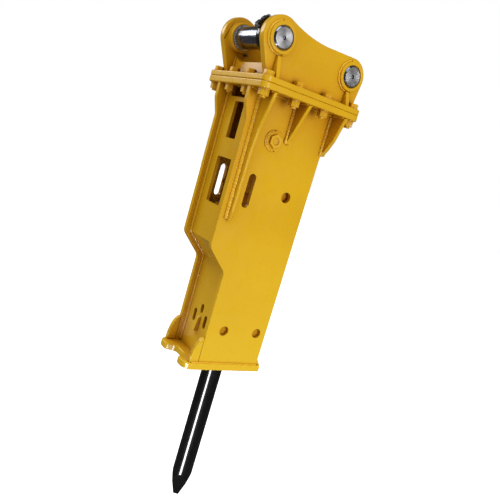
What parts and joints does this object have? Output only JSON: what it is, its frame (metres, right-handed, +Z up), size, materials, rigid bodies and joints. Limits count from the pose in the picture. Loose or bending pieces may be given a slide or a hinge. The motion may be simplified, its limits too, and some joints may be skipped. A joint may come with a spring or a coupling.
{
  "type": "hydraulic breaker hammer",
  "caption": "Box-housed hydraulic breaker hammer with bolted two-pin bracket, percussion unit and round pointed chisel.",
  "frame": {"origin": "centre of the arm pin, the front and higher of the bracket's two pins, midway between the ears", "axes": "+X along the arm pin towards the side the pins are drawn out; +Z up along the chisel's axis, from the point to the bracket; -Y towards the windowed front plate"},
  "size_m": [0.364, 0.4256, 1.746],
  "materials": {
    "housing_paint": "glossy yellow enamel over welded plate",
    "painted_fasteners": "yellow enamel over steel fasteners",
    "pin_steel": "hard-chromed and polished",
    "bushing_steel": "turned",
    "black_steel": "glossy black lacquer over hardened steel",
    "fastener_steel": "zinc-plated",
    "machined_steel": "ground",
    "forged_steel": "forged and machined, oiled",
    "bronze": "machined",
    "damper": "satin polyurethane",
    "seal": "matte"
  },
  "bodies": {
    "breaker": {"bracket_base_plate": "housing_paint", "bracket_ear_right": "housing_paint", "bracket_ear_left": "housing_paint", "bracket_front_web": "housing_paint", "bracket_rear_web": "housing_paint", "bracket_gussets": "housing_paint", "pin_bushings": "bushing_steel", "pin_collars": "black_steel", "collar_bolts": "fastener_steel", "bracket_grease_nipple": "fastener_steel", "housing_flange": "housing_paint", "side_plate_right": "housing_paint", "side_plate_left": "housing_paint", "front_plate": "housing_paint", "rear_plate": "housing_paint", "foot_plate": "housing_paint", "foot_gussets": "housing_paint", "front_ribs": "housing_paint", "middle_gussets": "housing_paint", "rear_ribs": "housing_paint", "front_lug": "housing_paint", "flange_bolts": "painted_fasteners", "flange_nuts": "painted_fasteners", "flange_washers": "painted_fasteners", "port_bosses": "housing_paint", "port_plugs": "painted_fasteners", "upper_damper": "damper", "side_pads": "damper", "rear_pads": "damper", "lower_damper": "damper", "back_head": "forged_steel", "gas_valve": "bronze", "gas_valve_cap": "forged_steel", "cylinder": "forged_steel", "flow_adjuster": "machined_steel", "seal_carrier": "bronze", "piston_seals": "seal", "dust_seal": "seal", "valve_block": "forged_steel", "valve_sleeve": "machined_steel", "valve_cover": "forged_steel", "valve_cover_bolts": "fastener_steel", "front_head": "forged_steel", "upper_tool_bush": "bronze", "lower_tool_bush": "bronze", "through_bolts": "fastener_steel", "through_bolt_nuts": "fastener_steel", "locating_pins": "painted_fasteners", "head_grease_nipple": "fastener_steel"},
    "piston": {"piston": "machined_steel"},
    "chisel": {"chisel": "black_steel"},
    "valve_spool": {"valve_spool": "machined_steel"},
    "arm_pin": {"arm_pin": "pin_steel"},
    "link_pin": {"link_pin": "pin_steel"},
    "tool_retainer": {"rod_pins": "machined_steel", "keeper_plate": "housing_paint", "keeper_bolts": "fastener_steel"}
  },
  "joints": [
    {"name": "piston_stroke", "type": "slide", "parent": "breaker", "child": "piston", "axis": [0, 0, 1], "range_m": [0, 0.08]},
    {"name": "chisel_travel", "type": "slide", "parent": "breaker", "child": "chisel", "axis": [0, 0, 1], "range_m": [0, 0.038]},
    {"name": "valve_shift", "type": "slide", "parent": "breaker", "child": "valve_spool", "axis": [0, 0, 1], "range_m": [0, 0.012]},
    {"name": "arm_pin_slide", "type": "slide", "parent": "breaker", "child": "arm_pin", "axis": [1, 0, 0], "range_m": [0, 0.3]},
    {"name": "link_pin_slide", "type": "slide", "parent": "breaker", "child": "link_pin", "axis": [1, 0, 0], "range_m": [0, 0.3]},
    {"name": "retainer_slide", "type": "slide", "parent": "breaker", "child": "tool_retainer", "axis": [-1, 0, 0], "range_m": [0, 0.2]}
  ]
}
